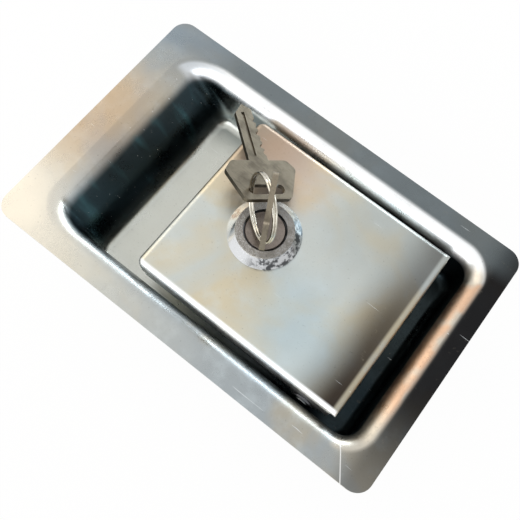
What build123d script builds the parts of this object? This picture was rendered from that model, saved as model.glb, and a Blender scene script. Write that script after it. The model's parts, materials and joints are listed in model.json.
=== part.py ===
from build123d import *
import math
import os

os.makedirs("parts", exist_ok=True)

# Frame: X along the pan towards the hinge end, Y across it, Z out of the door.
# Z 0 is the underside of the flange, the face that rests on the door panel.

# ---- pan ----
SHEET = 1.5
FLANGE_L = 165.0
FLANGE_W = 107.0
FLANGE_R = 6.0
PAN_TOP = SHEET
PAN_DEPTH = 25.0
FLOOR = PAN_TOP - PAN_DEPTH
UNDER = FLOOR - SHEET
WALL_Y = 40.0
REAR_X = 69.5
RAMP_TOP_X = -68.7
RAMP_ARC_X = -57.5
RAMP_ARC_R = 27.0
RAMP_STEEP = 78.0
WALL_CORNER_R = 6.5
RAMP_CORNER_R = 6.0
FLOOR_R = 4.0
ROLL_R = 7.5

# ---- paddle ----
PAD_T = 1.2
PAD_TOP = 2.0
PAD_X0 = -29.3
PAD_X1 = 60.3
PAD_Y = 37.3
PAD_FLANGE = 9.0
PAD_LIP = 5.5
PAD_SIDE_R = 3.0
PAD_END_R = 2.5
PAD_UNDER = PAD_TOP - PAD_T

# ---- hinge ----
PIVOT_X = 48.0
PIVOT_Z = -8.5
PIN_R = 2.5
PIN_END = 38.7
PIN_HEAD_R = 4.0
EAR_R = 6.0
RUN = 0.06
BRKT_T = 1.5
BRKT_Y = 33.4
FOOT_L = 18.0
FOOT_W = 14.0

# ---- lock ----
LOCK_X = 0.8
BEZEL_R = 14.0
RING_R = 10.8
FACE_Z = 6.5
BARREL_R = 9.5
PLUG_R = 7.6
BARREL_END = -25.2
CAM_T = 2.0
CAM_Z = -28.4
CAM_L = 22.0
CAM_W = 12.0

# ---- slam bolt ----
BOLT_FIT = 0.3
BOLT_W = 20.0
BOLT_H = 10.0
BOLT_TOP = UNDER - BOLT_FIT
BOLT_TAIL = 41.0
BOLT_NOSE = 86.5
LEVER_T = 3.0
LEVER_W = 8.0
LEVER_ARM = 22.0
LEVER_GAP = 0.8
HOUSE_X0 = 15.0
HOUSE_X1 = REAR_X - 0.5
HOUSE_T = 1.5
SPRING_R = 3.6
SPRING_WIRE = 0.55
GUIDE_R = 2.0
GUIDE_L = 5.0

# ---- fixings ----
STUD_R = 2.5
STUD_L = 16.0
STUD_HEAD_R = 3.3
STUD_HEAD_T = 0.7
STUD_DX = 155.0
STUD_DY = 97.0
RIVET_R = 2.0

# ---- keys and ring ----
KEY_T = 1.9
KEY_BOW_W = 28.0
KEY_BOW_D = 17.0
KEY_BLADE_L = 26.4
KEY_BLADE_W = 7.6
KEY_SLOT_L = 14.0
KEY_SLOT_W = 4.2
KEY_SLOT_IN = 4.2
KEY_TOP_Z = 36.5
KEY_ANGLE = -62.5
RING_C = (-2.206, 0.713, 21.428)
RING_N = (-0.6197, -0.7587, 0.2009)
RING_MAJOR = 11.93
RING_WIRE = 0.5
SPARE_AT = (-3.706, 7.22, 13.667)
SPARE_U = (-0.6337, -0.7070, 0.3141)
SPARE_V = (0.7682, -0.6228, 0.1480)

# ---- sizes that follow from the ones above ----
WINDOW_L = 38.0
WINDOW_W = 22.0
WINDOW_X = -5.0
SLOT_X0 = 30.5
SLOT_X1 = PIVOT_X + LEVER_W / 2 + 0.1
RIVET_Y = BOLT_W / 2 + 7.0
RIVET_X = (HOUSE_X0 + 8.0, HOUSE_X1 - 10.0)
RIVETS = [(x, y) for x in RIVET_X for y in (RIVET_Y, -RIVET_Y)]
CLIP_T = 0.7
CLIP_Y = PAD_Y + 0.3
FLATS = 16.4
GROOVE = 0.5
WASHER_T = 0.8
NUT_T = 5.0
NUT_R = 13.0
CAM_HUB_R = 8.0
SCREW_HEAD_R = 4.6
SCREW_HEAD_T = 2.6
TAIL_SQ = 7.0
SCREW_R = 2.0
KEY_END_Z = KEY_TOP_Z - KEY_BOW_D - KEY_BLADE_L
BOLT_MID = BOLT_TOP - BOLT_H / 2
BOLT_SLOT_X0 = PIVOT_X - LEVER_W / 2 - LEVER_GAP
BOLT_SLOT_L = 12.8
SPRING_TURNS = 8

LOCK = (LOCK_X, 0)


def basin(grow):
    """Solid of the pan's hollow, with every face moved outwards by grow."""
    slope = math.radians(45)
    arc_z = PAN_TOP - (RAMP_ARC_X - RAMP_TOP_X)
    with BuildPart() as form:
        with BuildSketch(Plane.XZ) as side:
            with BuildLine():
                cx = RAMP_ARC_X - RAMP_ARC_R * math.sin(slope)
                cz = arc_z - RAMP_ARC_R * math.cos(slope)
                steep = math.radians(RAMP_STEEP)
                foot = (cx + RAMP_ARC_R * math.sin(steep), cz + RAMP_ARC_R * math.cos(steep))
                run = (foot[1] - FLOOR) / math.tan(steep)
                lip = 12.0
                Line((RAMP_TOP_X - lip, PAN_TOP + lip), (RAMP_ARC_X, arc_z))
                RadiusArc((RAMP_ARC_X, arc_z), foot, RAMP_ARC_R)
                Polyline(foot, (foot[0] + run, FLOOR), (REAR_X, FLOOR), (REAR_X, PAN_TOP + lip),
                         (RAMP_TOP_X - lip, PAN_TOP + lip))
            make_face()
            if grow:
                offset(amount=grow, kind=Kind.INTERSECTION)
        extrude(amount=WALL_Y + grow, both=True)
        side_y = WALL_Y + grow - 0.01
        corners = form.edges().filter_by(lambda e: abs(e.center().Y) > side_y and e.center().X > REAR_X - 1)
        slopes = form.edges().filter_by(lambda e: abs(e.center().Y) > side_y and e.center().X < RAMP_ARC_X + 9)
        slopes = slopes.filter_by(lambda e: abs(e.tangent_at(0.5).X) > 0.1 and abs(e.tangent_at(0.5).Z) > 0.1)
        fillet(corners, WALL_CORNER_R + grow)
        fillet(slopes, RAMP_CORNER_R + grow)
        fillet(form.faces().sort_by(Axis.Z)[0].edges(), FLOOR_R + grow)
    return form.part


def post(x, y, z0, z1, r):
    """Plain round post between two heights."""
    with BuildPart() as bar:
        with BuildSketch(Plane.XY.offset(z0)):
            with Locations((x, y)):
                Circle(r)
        extrude(amount=z1 - z0)
    return bar.part


def key_blank():
    """Flat key, its blade pointing down -Y of its own plane and its bow's end at y 0."""
    half = KEY_BLADE_W / 2
    bow = KEY_BOW_W / 2
    with BuildPart() as blank:
        with BuildSketch():
            with BuildLine():
                Polyline((-half, -KEY_BOW_D), (-bow + 3, -KEY_BOW_D), (-bow, -KEY_BOW_D + 4),
                         (-bow + 5, 0), (bow - 5, 0), (bow, -KEY_BOW_D + 4),
                         (bow - 3, -KEY_BOW_D), (half, -KEY_BOW_D), (half, -KEY_BOW_D - KEY_BLADE_L + 4),
                         (0.6, -KEY_BOW_D - KEY_BLADE_L), (-half + 1, -KEY_BOW_D - KEY_BLADE_L + 2.5),
                         (-half, -KEY_BOW_D))
            make_face()
            fillet(vertices().filter_by(lambda v: abs(v.X) > half + 1), 2.0)
            with Locations((0, -KEY_SLOT_IN)):
                SlotOverall(KEY_SLOT_L, KEY_SLOT_W, mode=Mode.SUBTRACT)
        extrude(amount=KEY_T / 2, both=True)
        with BuildSketch(Plane.XY.offset(KEY_T / 2)):
            with Locations((1.0, -KEY_BOW_D - KEY_BLADE_L / 2 + 1)):
                Rectangle(1.3, KEY_BLADE_L - 6)
        extrude(amount=-0.6, mode=Mode.SUBTRACT)
        bitting = [(3.4, 0.9), (6.4, 1.5), (9.4, 0.7), (12.4, 1.7), (15.4, 1.1), (18.4, 1.6), (21.2, 0.8)]
        with BuildSketch():
            for along, deep in bitting:
                with Locations((-half, -KEY_BOW_D - along)):
                    Polygon((0, -1.5), (0, 1.5), (deep, 0.4), (deep, -0.4), align=None)
        extrude(amount=KEY_T, both=True, mode=Mode.SUBTRACT)
    return blank.part


# ---- pan: one pressing, a rolled rim round a scooped tray ----
with BuildPart() as pan:
    with BuildSketch():
        RectangleRounded(FLANGE_L, FLANGE_W, FLANGE_R)
    extrude(amount=SHEET)
    add(basin(SHEET))
    with BuildSketch(Plane.XY.offset(PAN_TOP)):
        Rectangle(FLANGE_L * 2, FLANGE_W * 2)
    extrude(amount=30, mode=Mode.SUBTRACT)
    under = pan.faces().filter_by(Axis.Z).filter_by(lambda f: abs(f.center().Z) < 0.01)[0]
    fillet(under.inner_wires()[0].edges(), ROLL_R - SHEET)
    add(basin(0), mode=Mode.SUBTRACT)
    top = pan.faces().filter_by(Axis.Z).sort_by(Axis.Z)[-1]
    fillet(top.inner_wires()[0].edges(), ROLL_R)
    with BuildSketch(Plane.XY.offset(FLOOR)):
        with Locations((WINDOW_X, 0)):
            RectangleRounded(WINDOW_L, WINDOW_W, 3)
        with Locations(((SLOT_X0 + SLOT_X1) / 2, 0)):
            Rectangle(SLOT_X1 - SLOT_X0, LEVER_T + 2)
        with Locations(*RIVETS):
            Circle(RIVET_R)
    extrude(amount=-SHEET, mode=Mode.SUBTRACT)
    with BuildSketch():
        with GridLocations(STUD_DX, STUD_DY, 2, 2):
            Circle(STUD_HEAD_R + 0.03)
    extrude(amount=STUD_HEAD_T, mode=Mode.SUBTRACT)
pan.part.label = "pan"
export_step(pan.part, "parts/pan.step")

# ---- hinge brackets: an L on each side of the floor ----
with BuildPart() as hinge_brackets:
    with BuildSketch(Plane.XZ.offset(-BRKT_Y)):
        with BuildLine():
            half = FOOT_L / 2
            Polyline((PIVOT_X - half, FLOOR), (PIVOT_X + half, FLOOR), (PIVOT_X + EAR_R, PIVOT_Z),
                     (PIVOT_X - EAR_R, PIVOT_Z), (PIVOT_X - half, FLOOR))
        make_face()
        with Locations((PIVOT_X, PIVOT_Z)):
            Circle(EAR_R)
            Circle(PIN_R + 0.02, mode=Mode.SUBTRACT)
    extrude(amount=BRKT_T)
    with BuildSketch(Plane.XY.offset(FLOOR)):
        with Locations((PIVOT_X, BRKT_Y - FOOT_W / 2)):
            RectangleRounded(FOOT_L, FOOT_W, 1.2)
    extrude(amount=BRKT_T)
    mirror(about=Plane.XZ)
hinge_brackets.part.label = "hinge_brackets"
export_step(hinge_brackets.part, "parts/hinge_brackets.step")

# ---- hinge pin: headed at one end, grooved for its clip at the other ----
with BuildPart() as hinge_pin:
    with BuildSketch(Plane.XZ.offset(-PIN_END)):
        with Locations((PIVOT_X, PIVOT_Z)):
            Circle(PIN_R)
    extrude(amount=PIN_END * 2)
    with BuildSketch(Plane.XZ.offset(-PIN_END)):
        with Locations((PIVOT_X, PIVOT_Z)):
            Circle(PIN_HEAD_R)
    extrude(amount=1.0)
    with BuildSketch(Plane.XZ.offset(CLIP_Y)):
        with Locations((PIVOT_X, PIVOT_Z)):
            Circle(PIN_R + 1)
            Circle(PIN_R - 0.6, mode=Mode.SUBTRACT)
    extrude(amount=CLIP_T + 0.1, mode=Mode.SUBTRACT)
hinge_pin.part.label = "hinge_pin"
export_step(hinge_pin.part, "parts/hinge_pin.step")

# ---- pin clip: open spring washer in the pin's groove ----
with BuildPart() as pin_clip:
    with BuildSketch(Plane.XZ.offset(CLIP_Y + 0.05)):
        with Locations((PIVOT_X, PIVOT_Z)):
            Circle(PIN_HEAD_R + 0.3)
            Circle(PIN_R - 0.55, mode=Mode.SUBTRACT)
        with Locations((PIVOT_X, PIVOT_Z - 3)):
            Rectangle(2.6, 6, mode=Mode.SUBTRACT)
    extrude(amount=CLIP_T)
pin_clip.part.label = "pin_clip"
export_step(pin_clip.part, "parts/pin_clip.step")

# ---- paddle: folded cover with side ears for the pin ----
with BuildPart() as paddle:
    width = PAD_Y * 2
    length = PAD_X1 - PAD_X0
    mid = (PAD_X1 + PAD_X0) / 2
    with BuildSketch(Plane.XY.offset(PAD_TOP)):
        with Locations((mid, 0)):
            Rectangle(length, width)
    extrude(amount=-PAD_FLANGE)
    fillet(paddle.edges().filter_by(Axis.Z).sort_by(Axis.X)[:2], PAD_SIDE_R)
    fillet(paddle.faces().sort_by(Axis.Z)[-1].edges(), PAD_END_R)
    bottom = paddle.faces().sort_by(Axis.Z)[0]
    offset(amount=-PAD_T, openings=bottom)
    with BuildSketch(Plane.XY.offset(PAD_TOP - PAD_FLANGE)):
        with Locations((PAD_X0, 0)):
            Rectangle(8, width + 2)
    extrude(amount=PAD_FLANGE - PAD_LIP - 1, mode=Mode.SUBTRACT)
    with BuildSketch(Plane.XY.offset(PAD_TOP - PAD_FLANGE)):
        with Locations((PAD_X1, PAD_Y), (PAD_X1, -PAD_Y)):
            Rectangle(5, 5)
    extrude(amount=PAD_FLANGE - PAD_T, mode=Mode.SUBTRACT)
    with BuildSketch(Plane.XZ.offset(-PAD_Y)):
        with Locations((PIVOT_X, PIVOT_Z)):
            Circle(EAR_R)
        with Locations((PIVOT_X, PIVOT_Z + 4)):
            Rectangle(EAR_R * 2, 8)
    extrude(amount=PAD_T)
    with BuildSketch(Plane.XZ.offset(PAD_Y)):
        with Locations((PIVOT_X, PIVOT_Z)):
            Circle(EAR_R)
        with Locations((PIVOT_X, PIVOT_Z + 4)):
            Rectangle(EAR_R * 2, 8)
    extrude(amount=-PAD_T)
    with BuildSketch(Plane.XZ):
        with Locations((PIVOT_X, PIVOT_Z)):
            Circle(PIN_R + RUN)
    extrude(amount=PAD_Y + 1, both=True, mode=Mode.SUBTRACT)
    with BuildSketch(Plane.XY.offset(PAD_TOP)):
        with Locations(LOCK):
            Circle(BARREL_R + 0.1)
            Rectangle(BARREL_R * 2 + 2, FLATS + 0.2, mode=Mode.INTERSECT)
    extrude(amount=-PAD_T, mode=Mode.SUBTRACT)
paddle.part.label = "paddle"
export_step(paddle.part, "parts/paddle.step")

# ---- lever: plate welded under the paddle, its round tip in the bolt's slot ----
TIP_Z = PIVOT_Z - LEVER_ARM
with BuildPart() as lever:
    with BuildSketch(Plane.XZ):
        with BuildLine():
            Polyline((PIVOT_X - 11, PAD_UNDER), (PIVOT_X + 9, PAD_UNDER), (PIVOT_X + LEVER_W / 2, PIVOT_Z - 2),
                     (PIVOT_X + LEVER_W / 2, TIP_Z), (PIVOT_X - LEVER_W / 2, TIP_Z),
                     (PIVOT_X - LEVER_W / 2, PIVOT_Z - 4), (PIVOT_X - 11, PAD_UNDER))
        make_face()
        with Locations((PIVOT_X, TIP_Z)):
            Circle(LEVER_W / 2)
        with Locations((PIVOT_X, PIVOT_Z)):
            Circle(PIN_R + 1.2)
            Circle(PIN_R + RUN, mode=Mode.SUBTRACT)
    extrude(amount=LEVER_T / 2, both=True)
lever.part.label = "lever"
export_step(lever.part, "parts/lever.step")

# ---- lock housing: sloped bezel on a flatted barrel ----
with BuildPart() as lock_housing:
    with BuildSketch(Plane.XY.offset(BARREL_END)):
        with Locations(LOCK):
            Circle(BARREL_R)
            Rectangle(BARREL_R * 2, FLATS, mode=Mode.INTERSECT)
    extrude(amount=PAD_TOP - BARREL_END)
    with BuildSketch(Plane.XZ) as bezel:
        with BuildLine():
            Polyline((LOCK_X, PAD_TOP), (LOCK_X + BEZEL_R, PAD_TOP), (LOCK_X + BEZEL_R, PAD_TOP + 0.8),
                     (LOCK_X + RING_R, FACE_Z), (LOCK_X, FACE_Z), (LOCK_X, PAD_TOP))
        make_face()
    revolve(axis=Axis((LOCK_X, 0, 0), (0, 0, 1)))
    with BuildSketch(Plane.XY.offset(FACE_Z)):
        with Locations(LOCK):
            Circle(PLUG_R + RUN)
    extrude(amount=BARREL_END - FACE_Z, mode=Mode.SUBTRACT)
    with BuildSketch(Plane.XY.offset(FACE_Z)):
        with Locations(LOCK):
            Circle(PLUG_R + GROOVE)
    extrude(amount=-GROOVE * 2, mode=Mode.SUBTRACT)
lock_housing.part.label = "lock_housing"
export_step(lock_housing.part, "parts/lock_housing.step")

# ---- washer and nut that clamp the lock to the paddle ----
with BuildPart() as lock_washer:
    with BuildSketch(Plane.XY.offset(PAD_UNDER - WASHER_T)):
        with Locations(LOCK):
            Circle(BEZEL_R - 0.5)
            Circle(BARREL_R + 0.1, mode=Mode.SUBTRACT)
    extrude(amount=WASHER_T)
lock_washer.part.label = "lock_washer"
export_step(lock_washer.part, "parts/lock_washer.step")

with BuildPart() as lock_nut:
    with BuildSketch(Plane.XY.offset(PAD_UNDER - WASHER_T - NUT_T)):
        with Locations(LOCK):
            RegularPolygon(NUT_R, 6)
            Circle(BARREL_R + 0.05, mode=Mode.SUBTRACT)
    extrude(amount=NUT_T)
lock_nut.part.label = "lock_nut"
export_step(lock_nut.part, "parts/lock_nut.step")

# ---- plug: turns in the barrel, square tail for the cam ----
with BuildPart() as lock_plug:
    with BuildSketch(Plane.XY.offset(CAM_Z + CAM_T)):
        with Locations(LOCK):
            Circle(PLUG_R)
    extrude(amount=FACE_Z - 0.3 - CAM_Z - CAM_T)
    chamfer(lock_plug.faces().sort_by(Axis.Z)[-1].edges(), 0.4)
    with BuildSketch(Plane.XY.offset(CAM_Z + 0.1)):
        with Locations(LOCK):
            Rectangle(TAIL_SQ, TAIL_SQ)
    extrude(amount=CAM_T)
    with BuildSketch(Plane.XY.offset(FACE_Z)):
        with Locations(Location((LOCK_X, 0, 0), (0, 0, KEY_ANGLE))):
            Rectangle(KEY_BLADE_W + 0.4, KEY_T + 0.3)
    extrude(amount=KEY_END_Z - 0.5 - FACE_Z, mode=Mode.SUBTRACT)
    with BuildSketch(Plane.XY.offset(CAM_Z)):
        with Locations(LOCK):
            Circle(SCREW_R + RUN)
    extrude(amount=9, mode=Mode.SUBTRACT)
lock_plug.part.label = "lock_plug"
export_step(lock_plug.part, "parts/lock_plug.step")

# ---- cam and its screw ----
with BuildPart() as lock_cam:
    with BuildSketch(Plane.XY.offset(CAM_Z)):
        with Locations((LOCK_X - CAM_L / 2, 0)):
            SlotOverall(CAM_L, CAM_W)
        with Locations(LOCK):
            Circle(CAM_HUB_R)
            Rectangle(TAIL_SQ + 0.1, TAIL_SQ + 0.1, mode=Mode.SUBTRACT)
    extrude(amount=CAM_T)
lock_cam.part.label = "lock_cam"
export_step(lock_cam.part, "parts/lock_cam.step")

with BuildPart() as cam_screw:
    with BuildSketch(Plane.XY.offset(CAM_Z)):
        with Locations(LOCK):
            Circle(SCREW_R)
    extrude(amount=8.5)
    with BuildSketch(Plane.XY.offset(CAM_Z)):
        with Locations(LOCK):
            Circle(SCREW_HEAD_R)
    extrude(amount=-SCREW_HEAD_T)
    chamfer(cam_screw.faces().sort_by(Axis.Z)[0].edges(), 0.6)
    with BuildSketch(Plane.XY.offset(CAM_Z - SCREW_HEAD_T)):
        with Locations(LOCK):
            Rectangle(5, 1.0)
            Rectangle(1.0, 5)
    extrude(amount=1.4, mode=Mode.SUBTRACT)
cam_screw.part.label = "cam_screw"
export_step(cam_screw.part, "parts/cam_screw.step")

# ---- keys on a split ring ----
blank = key_blank()
turn = math.radians(KEY_ANGLE)
across = Vector(math.cos(turn), math.sin(turn), 0)
stand = Plane(origin=(LOCK_X, 0, KEY_TOP_Z), x_dir=across, z_dir=across.cross(Vector(0, 0, 1)))
key = stand.location * blank
key.label = "key"
export_step(key, "parts/key.step")

flat_u = Vector(*SPARE_U).normalized()
flat_v = Vector(*SPARE_V)
flat_n = flat_u.cross(flat_v).normalized()
lying = Plane(origin=SPARE_AT, x_dir=flat_u, z_dir=flat_n)
spare_key = lying.location * blank
spare_key.label = "spare_key"
export_step(spare_key, "parts/spare_key.step")

with BuildPart() as split_ring:
    with BuildSketch(Plane.XZ):
        with Locations((RING_MAJOR, RING_WIRE * 0.9), (RING_MAJOR, -RING_WIRE * 0.9)):
            Circle(RING_WIRE)
    revolve(axis=Axis.Z)
round_n = Vector(*RING_N).normalized()
hang = Plane(origin=RING_C, x_dir=Vector(0, 0, 1).cross(round_n).normalized(), z_dir=round_n)
ring = hang.location * split_ring.part
ring.label = "split_ring"
export_step(ring, "parts/split_ring.step")

# ---- latch housing: flanged channel riveted under the floor ----
BOLT_BASE = BOLT_TOP - BOLT_H
HALF_IN = BOLT_W / 2 + BOLT_FIT
with BuildPart() as latch_housing:
    with BuildSketch(Plane.YZ.offset(HOUSE_X0)):
        with BuildLine():
            depth = BOLT_BASE - BOLT_FIT
            out = HALF_IN + HOUSE_T
            Polyline((-out - 9, UNDER), (-HALF_IN, UNDER), (-HALF_IN, depth), (HALF_IN, depth),
                     (HALF_IN, UNDER), (out + 9, UNDER), (out + 9, UNDER - HOUSE_T), (out, UNDER - HOUSE_T),
                     (out, depth - HOUSE_T), (-out, depth - HOUSE_T), (-out, UNDER - HOUSE_T),
                     (-out - 9, UNDER - HOUSE_T), (-out - 9, UNDER))
        make_face()
    extrude(amount=HOUSE_X1 - HOUSE_X0)
    with BuildSketch(Plane.XY.offset(UNDER)):
        with Locations((HOUSE_X1, 0)):
            Rectangle(FLOOR_R * 3, WALL_Y * 2)
            Rectangle(FLOOR_R * 3, HALF_IN * 2 + HOUSE_T * 2, mode=Mode.SUBTRACT)
    extrude(amount=-HOUSE_T * 2, mode=Mode.SUBTRACT)
    with BuildSketch(Plane.YZ.offset(HOUSE_X0)):
        with Locations((0, (UNDER + depth) / 2)):
            Rectangle(HALF_IN * 2, UNDER - depth)
        with Locations((0, BOLT_MID)):
            Circle(GUIDE_R, mode=Mode.SUBTRACT)
    extrude(amount=HOUSE_T)
    with BuildSketch(Plane.XY.offset(UNDER)):
        with Locations(*RIVETS):
            Circle(RIVET_R)
    extrude(amount=-HOUSE_T, mode=Mode.SUBTRACT)
latch_housing.part.label = "latch_housing"
export_step(latch_housing.part, "parts/latch_housing.step")

# ---- latch bolt: bevelled nose, slot for the lever, peg for the spring ----
with BuildPart() as latch_bolt:
    with BuildSketch(Plane.XZ):
        with BuildLine():
            Polyline((BOLT_TAIL, BOLT_TOP), (BOLT_NOSE, BOLT_TOP), (BOLT_NOSE, BOLT_TOP - 3),
                     (BOLT_NOSE - 12, BOLT_BASE), (BOLT_TAIL, BOLT_BASE), (BOLT_TAIL, BOLT_TOP))
        make_face()
    extrude(amount=BOLT_W / 2, both=True)
    fillet(latch_bolt.edges().filter_by(Axis.Y).sort_by(Axis.X)[-2:], 1.0)
    with BuildSketch(Plane.XY.offset(BOLT_TOP)):
        with Locations((BOLT_SLOT_X0 + BOLT_SLOT_L / 2, 0)):
            RectangleRounded(BOLT_SLOT_L, LEVER_T + 1.4, 1)
    extrude(amount=-BOLT_H, mode=Mode.SUBTRACT)
    with BuildSketch(Plane.YZ.offset(BOLT_TAIL)):
        with Locations((0, BOLT_MID)):
            Circle(GUIDE_R)
    extrude(amount=-GUIDE_L)
latch_bolt.part.label = "latch_bolt"
export_step(latch_bolt.part, "parts/latch_bolt.step")

# ---- spring guide: shouldered pin in the housing's end wall ----
with BuildPart() as spring_guide:
    with BuildSketch(Plane.YZ.offset(HOUSE_X0)):
        with Locations((0, BOLT_MID)):
            Circle(GUIDE_R)
    extrude(amount=HOUSE_T + GUIDE_L)
    with BuildSketch(Plane.YZ.offset(HOUSE_X0)):
        with Locations((0, BOLT_MID)):
            Circle(GUIDE_R + 1.5)
    extrude(amount=-1.5)
    fillet(spring_guide.faces().sort_by(Axis.X)[0].edges(), 0.8)
spring_guide.part.label = "spring_guide"
export_step(spring_guide.part, "parts/spring_guide.step")

# ---- bolt spring: coil between the end wall and the bolt's tail ----
COIL_X0 = HOUSE_X0 + HOUSE_T + SPRING_WIRE + 0.1
COIL_L = BOLT_TAIL - COIL_X0 - SPRING_WIRE - 0.1
coil = Helix(pitch=COIL_L / SPRING_TURNS, height=COIL_L, radius=SPRING_R,
             center=(COIL_X0, 0, BOLT_MID), direction=(1, 0, 0))
with BuildPart() as bolt_spring:
    with BuildLine():
        add(coil)
    with BuildSketch(Plane(origin=coil @ 0, z_dir=coil % 0)):
        RegularPolygon(SPRING_WIRE, 6)
    sweep(is_frenet=True)
bolt_spring.part.label = "bolt_spring"
export_step(bolt_spring.part, "parts/bolt_spring.step")

# ---- rivets through floor and housing flanges ----
with BuildPart() as rivets:
    with BuildSketch(Plane.XY.offset(FLOOR)):
        with Locations(*RIVETS):
            Circle(RIVET_R)
    extrude(amount=-SHEET - HOUSE_T)
    with BuildSketch(Plane.XY.offset(FLOOR)):
        with Locations(*RIVETS):
            Circle(RIVET_R * 1.8)
    extrude(amount=1.2)
    with BuildSketch(Plane.XY.offset(UNDER - HOUSE_T)):
        with Locations(*RIVETS):
            Circle(RIVET_R * 1.6)
    extrude(amount=-1.2)
    fillet(rivets.faces().filter_by(Axis.Z).group_by(Axis.Z)[-1].edges(), 0.9)
    fillet(rivets.faces().filter_by(Axis.Z).group_by(Axis.Z)[0].edges(), 0.9)
rivets.part.label = "rivets"
export_step(rivets.part, "parts/rivets.step")

# ---- mounting studs: heads set blind into the rim's corners ----
with BuildPart() as mounting_studs:
    with BuildSketch():
        with GridLocations(STUD_DX, STUD_DY, 2, 2):
            Circle(STUD_R)
    extrude(amount=-STUD_L)
    chamfer(mounting_studs.faces().filter_by(Axis.Z).group_by(Axis.Z)[0].edges(), 0.6)
    with BuildSketch():
        with GridLocations(STUD_DX, STUD_DY, 2, 2):
            Circle(STUD_HEAD_R)
    extrude(amount=STUD_HEAD_T)
mounting_studs.part.label = "mounting_studs"
export_step(mounting_studs.part, "parts/mounting_studs.step")
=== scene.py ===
"""Looks of a flush paddle latch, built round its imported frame.

The rigid pieces come from the frame. This script gives them their plated finishes, softens their edges,
adds the threads and the coil spring, and sets the studio. Lengths are in metres in the row frame.
"""

from __future__ import annotations

import json
import logging
import math
from dataclasses import dataclass
from enum import Enum
from typing import Protocol, Sequence

import bpy
from mathutils import Matrix, Vector

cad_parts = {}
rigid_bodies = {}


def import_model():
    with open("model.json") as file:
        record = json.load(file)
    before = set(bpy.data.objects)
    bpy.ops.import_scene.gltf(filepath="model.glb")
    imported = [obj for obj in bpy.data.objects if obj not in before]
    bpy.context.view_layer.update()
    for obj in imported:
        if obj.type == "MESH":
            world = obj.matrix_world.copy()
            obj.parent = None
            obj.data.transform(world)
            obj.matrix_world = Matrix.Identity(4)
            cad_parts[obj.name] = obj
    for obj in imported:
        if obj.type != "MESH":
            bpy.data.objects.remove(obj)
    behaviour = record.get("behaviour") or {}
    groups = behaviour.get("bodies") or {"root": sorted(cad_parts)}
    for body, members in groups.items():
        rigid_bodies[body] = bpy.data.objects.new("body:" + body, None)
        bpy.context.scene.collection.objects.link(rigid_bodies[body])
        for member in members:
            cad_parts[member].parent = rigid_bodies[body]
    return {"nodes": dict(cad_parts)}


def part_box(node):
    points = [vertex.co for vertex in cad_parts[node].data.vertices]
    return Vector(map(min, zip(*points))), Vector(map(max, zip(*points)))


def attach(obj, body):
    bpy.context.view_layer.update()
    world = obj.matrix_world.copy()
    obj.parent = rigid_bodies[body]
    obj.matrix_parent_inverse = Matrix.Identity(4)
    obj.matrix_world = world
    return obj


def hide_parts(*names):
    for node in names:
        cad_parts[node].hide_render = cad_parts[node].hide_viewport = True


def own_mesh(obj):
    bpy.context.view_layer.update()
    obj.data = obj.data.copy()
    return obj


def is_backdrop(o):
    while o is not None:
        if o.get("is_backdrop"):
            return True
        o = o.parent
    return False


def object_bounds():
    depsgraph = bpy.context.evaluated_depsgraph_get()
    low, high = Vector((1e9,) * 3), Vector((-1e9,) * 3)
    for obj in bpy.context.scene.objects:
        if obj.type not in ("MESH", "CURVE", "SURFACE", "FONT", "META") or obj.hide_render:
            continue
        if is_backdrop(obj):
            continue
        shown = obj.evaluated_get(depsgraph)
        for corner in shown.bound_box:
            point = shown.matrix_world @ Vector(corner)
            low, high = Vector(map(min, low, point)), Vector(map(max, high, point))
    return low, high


LOG = logging.getLogger("paddle_latch")
MM = 0.001
LOCK_X = 0.8 * MM
LOCK_FACE_Z = 6.5 * MM

Triple = tuple[float, float, float]


def colour(code: str) -> tuple[float, float, float, float]:
    """Turns an sRGB hex code into the linear colour that shaders take.

    Args:
        code: Six hex digits, with or without a leading hash.

    Returns:
        Linear red, green, blue and an alpha of 1.
    """
    text = code.lstrip("#")
    channels = [int(text[i : i + 2], 16) / 255 for i in (0, 2, 4)]
    linear = [c / 12.92 if c <= 0.04045 else ((c + 0.055) / 1.055) ** 2.4 for c in channels]
    return (linear[0], linear[1], linear[2], 1.0)


class Blend(Enum):
    """How a colour is laid over the one below it."""

    MIX = "MIX"
    MULTIPLY = "MULTIPLY"


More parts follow.
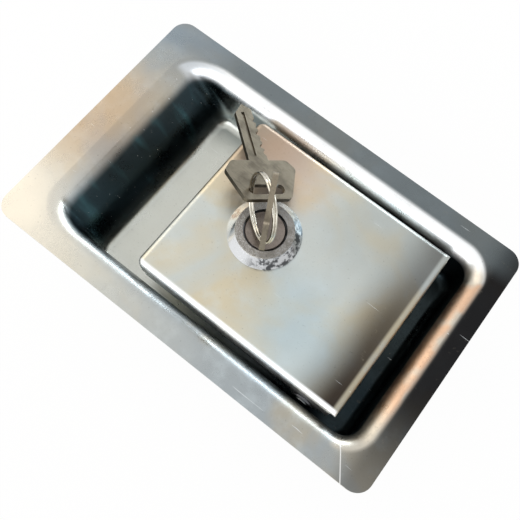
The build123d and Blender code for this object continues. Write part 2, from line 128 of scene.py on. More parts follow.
class Shader:
    """A material under construction, with one Principled surface."""

    def __init__(self, name: str) -> None:
        """Starts an empty material.

        Args:
            name: The material's name, which says the real finish.
        """
        self.material = bpy.data.materials.new(name)
        self.material.use_nodes = True
        self.tree = self.material.node_tree
        self.tree.nodes.clear()
        self.out = self.tree.nodes.new("ShaderNodeOutputMaterial")
        self.surface = self.tree.nodes.new("ShaderNodeBsdfPrincipled")
        self.join(self.surface.outputs["BSDF"], self.out.inputs["Surface"])
        self.place = self.tree.nodes.new("ShaderNodeTexCoord").outputs["Object"]
        self.parts = self.tree.nodes.new("ShaderNodeSeparateXYZ")
        self.join(self.place, self.parts.inputs["Vector"])

    def join(self, source: bpy.types.NodeSocket, target: bpy.types.NodeSocket) -> None:
        """Links two sockets.

        Args:
            source: The socket that gives the value.
            target: The socket that takes it.
        """
        self.tree.links.new(source, target)

    def stretched(self, scale: Triple, turn: Triple = (0, 0, 0)) -> bpy.types.NodeSocket:
        """Object coordinates scaled and turned.

        Args:
            scale: Factor along each axis.
            turn: Turn about each axis, in radians.

        Returns:
            The mapped coordinates.
        """
        node = self.tree.nodes.new("ShaderNodeMapping")
        node.inputs["Rotation"].default_value = turn
        node.inputs["Scale"].default_value = scale
        self.join(self.place, node.inputs["Vector"])
        return node.outputs["Vector"]

    def noise(
        self, size_mm: float, detail: float = 4, rough: float = 0.55, at: bpy.types.NodeSocket | None = None,
        warp: float = 0.0,
    ) -> bpy.types.NodeSocket:
        """Cloudy noise.

        Args:
            size_mm: Size of its blotches on the object.
            detail: Octaves.
            rough: How strong the fine octaves are.
            at: Coordinates to read, object coordinates if left out.
            warp: Distortion.

        Returns:
            The noise's value socket.
        """
        node = self.tree.nodes.new("ShaderNodeTexNoise")
        node.inputs["Scale"].default_value = 1 / (size_mm * MM)
        node.inputs["Detail"].default_value = detail
        node.inputs["Roughness"].default_value = rough
        node.inputs["Distortion"].default_value = warp
        self.join(at or self.place, node.inputs["Vector"])
        return node.outputs["Fac"]

    def cells(self, size_mm: float) -> bpy.types.NodeSocket:
        """Distance to scattered points, for pits and stipple.

        Args:
            size_mm: Spacing of the points.

        Returns:
            The distance socket.
        """
        node = self.tree.nodes.new("ShaderNodeTexVoronoi")
        node.inputs["Scale"].default_value = 1 / (size_mm * MM)
        self.join(self.place, node.inputs["Vector"])
        return node.outputs["Distance"]

    def axis(self, letter: str) -> bpy.types.NodeSocket:
        """One object coordinate in metres.

        Args:
            letter: X, Y or Z.

        Returns:
            That coordinate's socket.
        """
        return self.parts.outputs[letter]

    def span(
        self, value: bpy.types.NodeSocket, low: float, high: float, start: float = 0.0, end: float = 1.0
    ) -> bpy.types.NodeSocket:
        """Maps a range of a value to another, smoothly and clamped.

        Args:
            value: The socket to map.
            low: Value that gives start.
            high: Value that gives end.
            start: Result at low.
            end: Result at high.

        Returns:
            The mapped socket.
        """
        node = self.tree.nodes.new("ShaderNodeMapRange")
        node.interpolation_type = "SMOOTHSTEP"
        for name, number in (("From Min", low), ("From Max", high), ("To Min", start), ("To Max", end)):
            node.inputs[name].default_value = number
        self.join(value, node.inputs["Value"])
        return node.outputs["Result"]

    def calc(
        self, operation: str, a: bpy.types.NodeSocket, b: bpy.types.NodeSocket | float
    ) -> bpy.types.NodeSocket:
        """Arithmetic on sockets.

        Args:
            operation: Name of the Math node's operation.
            a: First value.
            b: Second value, a socket or a number.

        Returns:
            The result socket.
        """
        node = self.tree.nodes.new("ShaderNodeMath")
        node.operation = operation
        self.join(a, node.inputs[0])
        if isinstance(b, (int, float)):
            node.inputs[1].default_value = b
        else:
            self.join(b, node.inputs[1])
        return node.outputs[0]

    def around(self, centre: Triple, radius_mm: float, soft_mm: float) -> bpy.types.NodeSocket:
        """A soft round mask.

        Args:
            centre: Its middle, in metres.
            radius_mm: Where it is half gone.
            soft_mm: Width of its edge.

        Returns:
            A socket that is 1 inside and 0 outside.
        """
        node = self.tree.nodes.new("ShaderNodeVectorMath")
        node.operation = "DISTANCE"
        node.inputs[1].default_value = centre
        self.join(self.place, node.inputs[0])
        return self.span(
            node.outputs["Value"], (radius_mm + soft_mm / 2) * MM, (radius_mm - soft_mm / 2) * MM
        )

    def lay(
        self, below: bpy.types.NodeSocket | str, above: bpy.types.NodeSocket | str,
        amount: bpy.types.NodeSocket | float, how: Blend = Blend.MIX,
    ) -> bpy.types.NodeSocket:
        """Lays one colour over another.

        Args:
            below: Colour socket or hex code underneath.
            above: Colour socket or hex code on top.
            amount: How much of the upper one shows.
            how: Blend mode.

        Returns:
            The mixed colour socket.
        """
        node = self.tree.nodes.new("ShaderNodeMix")
        node.data_type = "RGBA"
        node.blend_type = how.value
        for source, name in ((below, "A"), (above, "B")):
            socket = next(s for s in node.inputs if s.name == name and s.type == "RGBA")
            if isinstance(source, str):
                socket.default_value = colour(source)
            else:
                self.join(source, socket)
        factor = node.inputs["Factor"]
        if isinstance(amount, (int, float)):
            factor.default_value = amount
        else:
            self.join(amount, factor)
        return next(s for s in node.outputs if s.type == "RGBA")

    def bump(
        self, height: bpy.types.NodeSocket, depth_mm: float, strength: float = 1.0,
        after: bpy.types.NodeSocket | None = None,
    ) -> bpy.types.NodeSocket:
        """Relief from a height.

        Args:
            height: Height between 0 and 1.
            depth_mm: What a height of 1 is.
            strength: Share of it that shows.
            after: A relief below this one.

        Returns:
            The normal socket, also joined to the surface.
        """
        node = self.tree.nodes.new("ShaderNodeBump")
        node.inputs["Distance"].default_value = depth_mm * MM
        node.inputs["Strength"].default_value = strength
        self.join(height, node.inputs["Height"])
        if after is not None:
            self.join(after, node.inputs["Normal"])
        self.join(node.outputs["Normal"], self.surface.inputs["Normal"])
        return node.outputs["Normal"]

    def finish(
        self, base: bpy.types.NodeSocket | str, rough: bpy.types.NodeSocket | float, metal: float = 1.0
    ) -> bpy.types.Material:
        """Sets the surface's main values.

        Args:
            base: Base colour.
            rough: Roughness.
            metal: Metallic value.

        Returns:
            The finished material.
        """
        if isinstance(base, str):
            self.surface.inputs["Base Color"].default_value = colour(base)
        else:
            self.join(base, self.surface.inputs["Base Color"])
        if isinstance(rough, (int, float)):
            self.surface.inputs["Roughness"].default_value = rough
        else:
            self.join(rough, self.surface.inputs["Roughness"])
        self.surface.inputs["Metallic"].default_value = metal
        return self.material


class Mask(Protocol):
    """Says where a tint shows."""

    def mask(self, s: Shader) -> bpy.types.NodeSocket:
        """Gives a value of 0 where it doesn't and 1 where it does."""


@dataclass(frozen=True)
class Band:
    """A stretch of one axis, in millimetres, over which a tint fades from one share to another."""

    axis: str
    low: float
    high: float
    start: float = 0.0
    end: float = 1.0

    def mask(self, s: Shader) -> bpy.types.NodeSocket:
        """Builds the fade."""
        return s.span(s.axis(self.axis), self.low * MM, self.high * MM, self.start, self.end)


@dataclass(frozen=True)
class Slant:
    """A band across the XY plane, in millimetres along a slanted line."""

    across: tuple[float, float]
    low: float
    high: float

    def mask(self, s: Shader) -> bpy.types.NodeSocket:
        """Builds the fade along the slanted line."""
        along_x = s.calc("MULTIPLY", s.axis("X"), self.across[0])
        along_y = s.calc("MULTIPLY", s.axis("Y"), self.across[1])
        return s.span(s.calc("ADD", along_x, along_y), self.low * MM, self.high * MM)


@dataclass(frozen=True)
class Patch:
    """A soft round area, in millimetres."""

    centre: Triple
    radius: float
    soft: float

    def mask(self, s: Shader) -> bpy.types.NodeSocket:
        """Builds the round fade."""
        x, y, z = (value * MM for value in self.centre)
        return s.around((x, y, z), self.radius, self.soft)


@dataclass(frozen=True)
class Cloud:
    """Uneven blotches of one size, in millimetres."""

    size: float
    low: float
    high: float
    end: float = 1.0
    stretch: Triple | None = None

    def mask(self, s: Shader) -> bpy.types.NodeSocket:
        """Builds the blotches."""
        at = s.stretched(self.stretch) if self.stretch else None
        rough = 0.5 if self.stretch else 0.55
        return s.span(s.noise(self.size, 2, rough, at), self.low, self.high, 0.0, self.end)


@dataclass(frozen=True)
class Tint:
    """A tone that shows where all its masks agree."""

    code: str
    share: float
    masks: tuple[Mask, ...]

    def lay(self, s: Shader, base: bpy.types.NodeSocket) -> bpy.types.NodeSocket:
        """Lays the tone over the ones before it.

        Args:
            s: The shader.
            base: Colour so far.

        Returns:
            The tinted colour.
        """
        amount = self.masks[0].mask(s)
        for mask in self.masks[1:]:
            amount = s.calc("MULTIPLY", amount, mask.mask(s))
        return s.lay(base, self.code, s.calc("MULTIPLY", amount, self.share))


RIM = Band("Z", -3, 0.5)
HOLLOW = Band("Z", -1, -6)
ROLL_OVER = (Band("Z", -5.5, -3), Band("Z", 1.46, 1.0))
HINGE_ROLL = (*ROLL_OVER, Band("X", 62, 66), Band("Y", 42, 37))
SCOOP = (Band("X", -48, -53), Band("Z", -1.2, -4.5))
SCRATCH_ACROSS = (1.03, 0.70)

TRAY_TINTS: tuple[Tint, ...] = (
    # The rim's painted light: grey painted shade on the far side, a pale painted highlight on the near one, a
    # near black painted reflection at the hinge end.
    Tint("#5A5F61", 0.6, (Band("X", -10, 78), Band("Y", -60, 40, 0.25), RIM)),
    Tint("#DEDACB", 0.75, (Band("Y", -40, -50), Band("X", 30, -70), RIM)),
    Tint("#151314", 0.96, (Band("X", 66, 77), Band("Y", -60, -12, 0.5), RIM)),
    Tint("#5F676A", 0.8, (RIM, Band("Y", 38, 46), Band("X", -88, -40, 0.45), Band("X", 84, 70, 0.2))),
    # Painted shade on the walls and floor: dark blue, deepest behind the paddle.
    Tint("#27444C", 0.45, (HOLLOW,)),
    Tint("#0D1D23", 0.92, (HOLLOW, Band("X", 20, 45))),
    # Painted light on the roll-over: a white painted highlight on the far side, a grey and tan painted
    # reflection band at the hinge end.
    Tint("#F6F8F9", 1.0, (*ROLL_OVER, Band("Y", 33, 37))),
    Tint("#C4BEB2", 0.9, HINGE_ROLL),
    Tint("#C9A284", 0.75, (*HINGE_ROLL, Cloud(13, 0.42, 0.58), Band("Y", -34, -18))),
    # Painted light keeps the floor in front of the paddle pale.
    Tint("#CCCEC6", 0.85, (Band("Z", -20, -23), Band("X", 10, -20))),
    # Painted reflection along the rim's scoop end: cream corner, tan middle, blue-grey corner.
    Tint("#E3DDCF", 1.0, (RIM, Patch((-85, -58, 0), 34, 40))),
    Tint("#B79A78", 0.55, (Patch((-83, 0, 0), 22, 30),)),
    Tint("#7E8C98", 0.6, (Patch((-82, 50, 0), 24, 26),)),
    # Painted reflection on the scoop's ramp: dark, with faint teal sweeps.
    Tint("#1A2C33", 0.93, SCOOP),
    Tint("#4C767E", 1.0, (*SCOOP, Cloud(7, 0.5, 0.72, 0.4, (0.25, 1.0, 0.25)))),
    # One long scratch across the rim by the hinge end's near corner.
    Tint("#F4F4F2", 0.8, (
        Slant(SCRATCH_ACROSS, 38.1, 38.35), Slant(SCRATCH_ACROSS, 38.8, 38.55),
        RIM, Band("Y", -42.5, -43.5),
    )),
)

COVER_TINTS: tuple[Tint, ...] = (
    # Painted shade in dark brown before the rear bend, and a painted highlight on the near bend.
    Tint("#2E2622", 1.0, (Band("X", 36, 56), Band("X", 58.4, 57, 0.35), Band("Y", 34, -36, 0.78, 0.97))),
    Tint("#FBFCFC", 0.9, (Band("Y", -34.6, -35.6),)),
    # Brown, grey, tan and blue clouds.
    Tint("#736A59", 0.75, (Patch((-22, 34, 0), 15, 24),)),
    Tint("#9DA3A1", 0.5, (Patch((34, 28, 0), 20, 30),)),
    Tint("#C9A68C", 0.5, (Patch((-12, 26, 0), 18, 24),)),
    Tint("#A9C0CB", 0.5, (Patch((30, -20, 0), 16, 24),)),
)


@dataclass(frozen=True)
class PlatedSheet:
    """Blue-white zinc plate on pressed steel, clouded by its passivate.

    Zinc plate is a metal with a soft gloss. The passivate gives it cool and warm clouds some centimetres wide.
    """

    name: str
    cool: str
    warm: str
    deep: str
    rough: float
    tints: tuple[Tint, ...]

    def build(self) -> bpy.types.Material:
        """Builds the plated finish.

        Returns:
            The material.
        """
        s = Shader(self.name)
        clouds = s.span(s.noise(34, 3, 0.5, warp=0.6), 0.42, 0.62)
        base = s.lay(self.cool, self.warm, clouds)
        bloom = s.span(s.noise(9, 5, 0.6), 0.45, 0.75, 0.0, 0.3)
        base = s.lay(base, "#D3DEE2", bloom)
        # Most of the tints are painted light laid by position: painted shade, painted highlights and painted
        # reflections.
        for tint in self.tints:
            base = tint.lay(s, base)
        stains = s.span(s.noise(3.2, 6, 0.7), 0.60, 0.78, 0.0, 0.25)
        base = s.lay(base, self.deep, stains)
        # The plate's grain is finer than this, and is drawn at 0.9 mm so that it shows.
        grain = s.noise(0.9, 3, 0.6)
        base = s.lay(base, "#5E6266", s.span(grain, 0.62, 0.80, 0.0, 0.35), Blend.MULTIPLY)
        streak = s.noise(1.0, 2, 0.5, s.stretched((0.05, 1.4, 1.0), (0, 0, 0.5)))
        scratch = s.span(streak, 0.735, 0.76, 0.0, 0.5)
        base = s.lay(base, "#E9EEF0", scratch)
        rough = s.span(s.noise(14, 4, 0.6), 0.3, 0.7, self.rough - 0.06, self.rough + 0.08)
        rough = s.calc("ADD", rough, s.span(grain, 0.4, 0.8, 0.0, 0.12))
        wave = s.bump(s.noise(26, 2, 0.4), 0.35, 0.5)
        pits = s.bump(s.noise(0.8, 4, 0.65), 0.05, 0.35, wave)
        s.bump(scratch, -0.03, 0.6, pits)
        return s.finish(base, rough)


@dataclass(frozen=True)
class PlainMetal:
    """Metal with fine grain and a little wear, which breaks its gloss into short streaks."""

    name: str
    base: str
    shade: str
    rough: float
    grain_mm: float = 0.6
    stretch: Triple = (1.0, 1.0, 1.0)
    turn: Triple = (0.0, 0.0, 0.0)

    def build(self) -> bpy.types.Material:
        """Builds the metal.

        Returns:
            The material.
        """
        s = Shader(self.name)
        at = s.stretched(self.stretch, self.turn)
        streaks = s.noise(self.grain_mm, 4, 0.6, at)
        base = s.lay(self.base, self.shade, s.span(s.noise(5, 4), 0.4, 0.75, 0.0, 0.55))
        base = s.lay(base, self.shade, s.span(streaks, 0.5, 0.8, 0.0, 0.45))
        rough = s.span(streaks, 0.3, 0.7, self.rough - 0.04, self.rough + 0.09)
        s.bump(streaks, 0.02, 0.4)
        return s.finish(base, rough)


@dataclass(frozen=True)
class LockChrome:
    """Bright chrome on a die casting.

    It mirrors sharply but for its stippled ring, its pits and a spot of rust. Its colour also carries a
    painted dark reflection towards +X, broken into painted glints, a painted blue-grey reflection towards +Y
    and painted shade in the groove round the plug.
    """

    name: str
    face_z: float
    axis_xy: tuple[float, float]
    plug_mm: float = 7.3
    groove_mm: float = 8.15

    def build(self) -> bpy.types.Material:
        """Builds the chrome.

        Returns:
            The material.
        """
        s = Shader(self.name)
        ring = s.span(s.axis("Z"), self.face_z - 0.25 * MM, self.face_z - 0.1 * MM)
        stipple = s.cells(0.42)
        axis_x, axis_y = self.axis_xy
        # Painted reflection: the chrome is painted dark towards +X, broken by noise into bright painted
        # glints, and painted blue-grey towards +Y.
        glints = s.span(s.noise(2.2, 3, 0.6), 0.42, 0.58, 0.35, 1.0)
        shade = s.calc("MULTIPLY", s.span(s.axis("X"), axis_x - 1 * MM, axis_x + 7 * MM), glints)
        base = s.lay("#E2E4E6", "#25282B", s.calc("MULTIPLY", shade, 0.92))
        cool = s.calc("MULTIPLY", s.span(s.axis("Y"), axis_y + 4 * MM, axis_y + 11 * MM), 0.6)
        base = s.lay(base, "#8796A2", cool)
        base = s.lay(base, "#8C8882", s.calc("MULTIPLY", ring, s.span(stipple, 0.2, 0.6, 0.45, 0.95)))
        middle = (axis_x, axis_y, self.face_z)
        # Painted shade: a near black ring in the gap between the plug and the case.
        groove = s.calc("SUBTRACT", s.around(middle, self.groove_mm, 0.2), s.around(middle, self.plug_mm, 0.2))
        base = s.lay(base, "#0E0E10", s.calc("MULTIPLY", groove, 0.9))
        spot = s.around((self.axis_xy[0] - 0.0115, self.axis_xy[1] - 0.001, 0.003), 2.6, 2.6)
        rust = s.calc("MULTIPLY", spot, s.span(s.noise(1.6, 5, 0.7), 0.4, 0.6))
        base = s.lay(base, "#A8703C", s.calc("MULTIPLY", rust, 0.8))
        pits = s.span(s.noise(0.7, 4, 0.7), 0.63, 0.70)
        base = s.lay(base, "#3A3A3C", s.calc("MULTIPLY", pits, 0.55))
        rough = s.calc("ADD", s.span(ring, 0.0, 1.0, 0.09, 0.38), s.calc("MULTIPLY", pits, 0.2))
        rough = s.calc("ADD", rough, s.calc("MULTIPLY", rust, 0.4))
        first = s.bump(s.calc("MULTIPLY", stipple, ring), 0.12, 0.8)
        s.bump(pits, -0.05, 0.6, first)
        return s.finish(base, rough)


ZINC_TRAY = PlatedSheet("zinc plated pressed steel, tray", "#A6ADB0", "#B4AFA2", "#8A8376", 0.30, TRAY_TINTS)
ZINC_COVER = PlatedSheet("zinc plated sheet steel, paddle", "#C6CBC7", "#CFC6AE", "#AEA48F", 0.34, COVER_TINTS)
ZINC_PLAIN = PlainMetal("plain zinc plated steel", "#A3A8AA", "#7E8386", 0.34)
CHROME = LockChrome("chromed die cast lock case", LOCK_FACE_Z, (LOCK_X, 0.0))
PLUG = PlainMetal("satin nickel plug face", "#8A817A", "#544C47", 0.30, 0.7)
KEY_STANDING = PlainMetal(
    "brushed nickel key", "#8D8474", "#403A31", 0.32, 0.5, (1.0, 1.0, 0.06), (0.0, 0.0, 0.0)
)
# Painted shade: the spare key is a darker copy of the standing key's brushed nickel.
KEY_LYING_PAINTED_DARKER = PlainMetal(
    "brushed nickel spare key", "#6F685B", "#332E27", 0.36, 0.5,
    (0.06, 1.0, 1.0), (0.0, 0.0, math.radians(-140)),
)
RING = PlainMetal("bright nickel wire", "#D8D4C8", "#9C9588", 0.14, 0.9)
SPRING = PlainMetal("oiled spring steel", "#5E5F62", "#3B3C3F", 0.30, 0.5)

FINISHES: dict[str, PlatedSheet | PlainMetal | LockChrome] = {
    "pan": ZINC_TRAY,
    "paddle": ZINC_COVER,
    "lock_housing": CHROME,
    "lock_plug": PLUG,
    "key": KEY_STANDING,
    "spare_key": KEY_LYING_PAINTED_DARKER,
    "split_ring": RING,
    "pin_clip": SPRING,
}

EDGE_MM: dict[str, float] = {
    "pan": 0.0, "split_ring": 0.0, "bolt_spring": 0.0, "key": 0.22, "spare_key": 0.22, "lock_housing": 0.25,
    "lock_plug": 0.15, "paddle": 0.12, "pin_clip": 0.1, "lock_washer": 0.12,
}
EDGE_DEFAULT_MM = 0.3


class Dresser:
    """Gives the frame's rigid nodes their finishes and softened edges."""

    def __init__(self, nodes: dict[str, bpy.types.Object]) -> None:
        """Keeps the nodes.

        Args:
            nodes: The frame's nodes by name.
        """
        self.nodes = nodes
        self.made: dict[str, bpy.types.Material] = {}

    def material(self, finish: PlatedSheet | PlainMetal | LockChrome) -> bpy.types.Material:
        """Builds a finish once.

        Args:
            finish: The finish.

        Returns:
            Its material.
        """
        if finish.name not in self.made:
            self.made[finish.name] = finish.build()
        return self.made[finish.name]

    def dress(self) -> None:
        """Dresses every node."""
        for name, node in self.nodes.items():
            material = self.material(FINISHES.get(name, ZINC_PLAIN))
            LOG.info("dressed %s in %s", name, material.name)
            node.data.materials.clear()
            node.data.materials.append(material)
            width = EDGE_MM.get(name, EDGE_DEFAULT_MM)
            if width:
                edge = node.modifiers.new("soft_edge", "BEVEL")
                edge.width = width * MM
                edge.segments = 2
                edge.limit_method = "ANGLE"
                edge.angle_limit = math.radians(40)
                edge.harden_normals = False


@dataclass(frozen=True)
class Coil:
    """A round wire wound on a straight axis."""

    name: str
    start: Triple
    direction: Triple
    length: float
    radius: float
    wire: float
    turns: float

    def build(self) -> bpy.types.Object:
        """Winds the coil.

        Returns:
            The coil, its place in its mesh.
        """
        bpy.ops.object.select_all(action="DESELECT")
        bpy.ops.mesh.primitive_circle_add(vertices=10, radius=self.wire, fill_type="NGON")
        piece = bpy.context.active_object
        piece.name = self.name
        piece.data.transform(Matrix.Rotation(math.pi / 2, 4, "X"))
        piece.data.transform(Matrix.Translation((self.radius, 0, 0)))
        wind = piece.modifiers.new("wind", "SCREW")
        wind.axis = "Z"
        wind.angle = math.tau * self.turns
        wind.screw_offset = self.length
        wind.steps = wind.render_steps = int(28 * self.turns)
        wind.use_merge_vertices = True
        bpy.ops.object.modifier_apply(modifier="wind")
        turn = Vector((0, 0, 1)).rotation_difference(Vector(self.direction)).to_matrix().to_4x4()
        piece.data.transform(Matrix.Translation(self.start) @ turn)
        bpy.ops.object.shade_smooth()
        return piece


@dataclass(frozen=True)
class Thread:
    """A rolled thread that stands on a shaft."""

    name: str
    start: Triple
    length: float
    radius: float
    pitch: float
    depth: float

    def build(self) -> bpy.types.Object:
        """Winds the thread's ridge down the shaft.

        Returns:
            The thread, its place in its mesh.
        """
        bpy.ops.object.select_all(action="DESELECT")
        bpy.ops.mesh.primitive_circle_add(vertices=3, radius=self.depth, fill_type="NGON")
        piece = bpy.context.active_object
        piece.name = self.name
        tip = (self.radius + self.depth, 0.0, 0.0)
        low = (self.radius - self.depth * 0.3, 0.0, -self.pitch * 0.46)
        high = (self.radius - self.depth * 0.3, 0.0, self.pitch * 0.46)
        for vertex, place in zip(piece.data.vertices, (tip, low, high)):
            vertex.co = place
        turns = self.length / self.pitch
        wind = piece.modifiers.new("wind", "SCREW")
        wind.axis = "Z"
        wind.angle = math.tau * turns
        wind.screw_offset = -self.length
        wind.steps = wind.render_steps = int(32 * turns)
        wind.use_merge_vertices = True
        bpy.ops.object.modifier_apply(modifier="wind")
        piece.data.transform(Matrix.Translation(self.start))
        return piece


def seat(piece: bpy.types.Object, body: str, dresser: Dresser) -> None:
    """Finishes a thread in plain zinc and seats it.

    Args:
        piece: The thread.
        body: The body it rides on.
        dresser: Gives the finish.
    """
    piece.data.materials.append(dresser.material(ZINC_PLAIN))
    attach(piece, body)
    LOG.info("added %s on %s", piece.name, body)


@dataclass(frozen=True)
class BoltSpring:
    """The coil that pushes the bolt out."""

    wire: float = 0.55 * MM
    radius: float = 3.6 * MM
    turns: int = 8
    end_gap: float = 1.3
    keep: float = 0.46

    def build(self, dresser: Dresser) -> None:
        """Winds the coil in the place of the plain spring.

        Args:
            dresser: Gives the finish.
        """
        low, high = (Vector(corner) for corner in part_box("bolt_spring"))
        middle = (low + high) / 2
        gap = self.wire * self.end_gap
        coil = Coil(
            "bolt_coil", (low.x + gap, middle.y, middle.z), (1, 0, 0),
            high.x - low.x - 2 * gap, self.radius, self.wire, self.turns,
        ).build()
        coil.data.materials.append(dresser.material(SPRING))
        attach(coil, "tray")
        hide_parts("bolt_spring")
        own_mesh(coil)
        LOG.info("added %s on tray", coil.name)


@dataclass(frozen=True)
class StudThreads:
    """The rolled threads of the four mounting studs."""

    inset: float = 3.3 * MM
    top: float = -1.8 * MM
    length: float = 13.2 * MM
    radius: float = 2.5 * MM
    pitch: float = 0.8 * MM
    depth: float = 0.22 * MM

    def build(self, dresser: Dresser) -> None:
        """Threads each stud.

        Args:
            dresser: Gives the finish.
        """
        low, high = (Vector(corner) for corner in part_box("mounting_studs"))
        for index, x in enumerate((low.x + self.inset, high.x - self.inset)):
            for side, y in enumerate((low.y + self.inset, high.y - self.inset)):
                name = f"stud_thread_{index}{side}"
                thread = Thread(name, (x, y, self.top), self.length, self.radius, self.pitch, self.depth)
                seat(thread.build(), "tray", dresser)


@dataclass(frozen=True)
class BarrelThread:
    """The thread on the lock's barrel, cut off at the barrel's two flats."""

    top: float = -5.6 * MM
    length: float = 17.5 * MM
    radius: float = 9.5 * MM
    pitch: float = 1.0 * MM
    depth: float = 0.16 * MM
    flat: float = 8.25 * MM

    def build(self, dresser: Dresser) -> None:
        """Threads the barrel behind the nut.

        Args:
            dresser: Gives the finish.
        """
        start = (LOCK_X, 0.0, self.top)
        piece = Thread("barrel_thread", start, self.length, self.radius, self.pitch, self.depth).build()
        for vertex in piece.data.vertices:
            vertex.co.y = max(-self.flat, min(self.flat, vertex.co.y))
        seat(piece, "paddle", dresser)


@dataclass(frozen=True)
class Lamp:
    """A soft rectangular lamp aimed at the latch."""

    name: str
    at: Triple
    size: tuple[float, float]
    watts: float
    tint: str = "#FFFFFF"

    def build(self) -> None:
        """Hangs the lamp."""
        data = bpy.data.lights.new(self.name, "AREA")
        data.shape = "RECTANGLE"
        data.size, data.size_y = self.size
        data.energy = self.watts
        data.color = colour(self.tint)[:3]
        lamp = bpy.data.objects.new(self.name, data)
        lamp.location = self.at
        lamp.rotation_euler = (-Vector(self.at)).to_track_quat("-Z", "Y").to_euler()
        bpy.context.collection.objects.link(lamp)


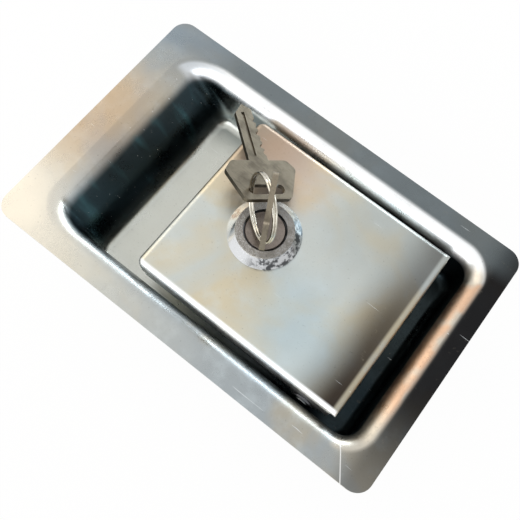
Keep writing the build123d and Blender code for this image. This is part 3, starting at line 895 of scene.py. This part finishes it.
class Studio:
    """Camera, lamps, world and floor."""

    EYE: Triple = (0.0403, -0.0756, 0.2308)
    RIGHT: Triple = (0.789, 0.612, 0.059)
    FORWARD: Triple = (-0.144, 0.277, -0.95)
    FOCAL_LENGTHS = 663.4
    FRAME_WIDTH = 520
    BRIGHT_SIDE: Triple = (-0.80, -0.55, 0.15)
    DIM_SKY = "#6E7478"
    BRIGHT_SKY = "#F3F0E8"
    SKY_STRENGTH = 0.98
    FLOOR_GLOW = 0.96
    FLOOR_GAP = 0.5 * MM
    LAMPS: Sequence[Lamp] = (
        Lamp("softbox_left", (-0.75, 0.10, 0.55), (0.70, 0.60), 1.6, "#FFF1DC"),
        Lamp("softbox_near", (0.05, -0.70, 0.42), (1.1, 0.55), 3.6, "#FBFCFF"),
        Lamp("strip_far", (0.05, 0.85, 0.22), (1.0, 0.16), 4.5, "#EAF6FF"),
    )

    def camera(self) -> None:
        """Sets the camera above the latch, turned to its long diagonal."""
        data = bpy.data.cameras.new("camera")
        data.sensor_width = 36.0
        data.lens = self.FOCAL_LENGTHS * data.sensor_width / self.FRAME_WIDTH
        data.clip_start = 0.01
        camera = bpy.data.objects.new("camera", data)
        right = Vector(self.RIGHT).normalized()
        back = -Vector(self.FORWARD).normalized()
        up = back.cross(right).normalized()
        right = up.cross(back)
        turn = Matrix((right, up, back)).transposed().to_4x4()
        camera.matrix_world = Matrix.Translation(self.EYE) @ turn
        bpy.context.collection.objects.link(camera)
        bpy.context.scene.camera = camera

    @staticmethod
    def seen(tree: bpy.types.NodeTree) -> bpy.types.NodeSocket:
        """Tells the rays that show the white background.

        Args:
            tree: Node tree that asks.

        Returns:
            One for camera, glossy and transmission rays.
        """
        path = tree.nodes.new("ShaderNodeLightPath")
        found = path.outputs["Is Camera Ray"]
        for other in ("Is Glossy Ray", "Is Transmission Ray"):
            either = tree.nodes.new("ShaderNodeMath")
            either.operation = "MAXIMUM"
            tree.links.new(found, either.inputs[0])
            tree.links.new(path.outputs[other], either.inputs[1])
            found = either.outputs[0]
        return found

    def world(self) -> None:
        """Lights the world softly and shows it white."""
        world = bpy.data.worlds.new("studio")
        bpy.context.scene.world = world
        world.use_nodes = True
        tree = world.node_tree
        tree.nodes.clear()
        out = tree.nodes.new("ShaderNodeOutputWorld")
        soft = tree.nodes.new("ShaderNodeBackground")
        soft.inputs["Strength"].default_value = self.SKY_STRENGTH
        way = tree.nodes.new("ShaderNodeTexCoord")
        lean = tree.nodes.new("ShaderNodeVectorMath")
        lean.operation = "DOT_PRODUCT"
        lean.inputs[1].default_value = self.BRIGHT_SIDE
        fall = tree.nodes.new("ShaderNodeMapRange")
        fall.interpolation_type = "SMOOTHSTEP"
        fall.inputs["From Min"].default_value = -0.50
        fall.inputs["From Max"].default_value = 0.10
        shade = tree.nodes.new("ShaderNodeMix")
        shade.data_type = "RGBA"
        dark, light = (socket for socket in shade.inputs if socket.type == "RGBA")
        dark.default_value = colour(self.DIM_SKY)
        light.default_value = colour(self.BRIGHT_SKY)
        tree.links.new(way.outputs["Generated"], lean.inputs[0])
        tree.links.new(lean.outputs["Value"], fall.inputs["Value"])
        tree.links.new(fall.outputs["Result"], shade.inputs["Factor"])
        tint = next(socket for socket in shade.outputs if socket.type == "RGBA")
        tree.links.new(tint, soft.inputs["Color"])
        white = tree.nodes.new("ShaderNodeBackground")
        white.inputs["Strength"].default_value = 1.0
        white.inputs["Color"].default_value = (1, 1, 1, 1)
        mix = tree.nodes.new("ShaderNodeMixShader")
        tree.links.new(self.seen(tree), mix.inputs["Fac"])
        tree.links.new(soft.outputs[0], mix.inputs[1])
        tree.links.new(white.outputs[0], mix.inputs[2])
        tree.links.new(mix.outputs[0], out.inputs["Surface"])

    def floor(self, low: float) -> None:
        """Lays the pale floor.

        Args:
            low: Height of the object's lowest point.
        """
        bpy.ops.object.select_all(action="DESELECT")
        bpy.ops.mesh.primitive_plane_add(size=4.0, location=(0, 0, low - self.FLOOR_GAP))
        floor = bpy.context.active_object
        floor.name = "floor"
        material = bpy.data.materials.new("white studio paper")
        material.use_nodes = True
        tree = material.node_tree
        tree.nodes.clear()
        out = tree.nodes.new("ShaderNodeOutputMaterial")
        paper = tree.nodes.new("ShaderNodeBsdfDiffuse")
        paper.inputs["Color"].default_value = colour("#F4F4F4")
        glow = tree.nodes.new("ShaderNodeEmission")
        glow.inputs["Color"].default_value = (1, 1, 1, 1)
        share = tree.nodes.new("ShaderNodeMath")
        share.operation = "MULTIPLY"
        share.inputs[1].default_value = self.FLOOR_GLOW
        tree.links.new(self.seen(tree), share.inputs[0])
        mix = tree.nodes.new("ShaderNodeMixShader")
        tree.links.new(share.outputs[0], mix.inputs["Fac"])
        tree.links.new(paper.outputs[0], mix.inputs[1])
        tree.links.new(glow.outputs[0], mix.inputs[2])
        tree.links.new(mix.outputs[0], out.inputs["Surface"])
        floor.data.materials.append(material)
        floor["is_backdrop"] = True

    def build(self, low: float) -> None:
        """Sets the whole studio.

        Args:
            low: Height of the object's lowest point.
        """
        self.camera()
        self.world()
        self.floor(low)
        for lamp in self.LAMPS:
            lamp.build()
        bpy.context.scene.view_settings.view_transform = "Standard"


def numbers(box: Sequence[Sequence[float]]) -> list[list[float]]:
    """A box as plain lists.

    Args:
        box: Lowest and highest corner.

    Returns:
        The same as lists of floats.
    """
    return [[float(value) for value in corner] for corner in box]


def main() -> None:
    """Dresses the latch and sets its studio."""
    logging.basicConfig(level=logging.INFO)
    for leftover in list(bpy.data.objects):
        bpy.data.objects.remove(leftover)
    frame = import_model()
    solid = numbers(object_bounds())
    dresser = Dresser(frame["nodes"])
    dresser.dress()
    for fitting in (BoltSpring(), StudThreads(), BarrelThread()):
        fitting.build(dresser)
    Studio().build(solid[0][2])


if __name__ == "__main__":
    main()
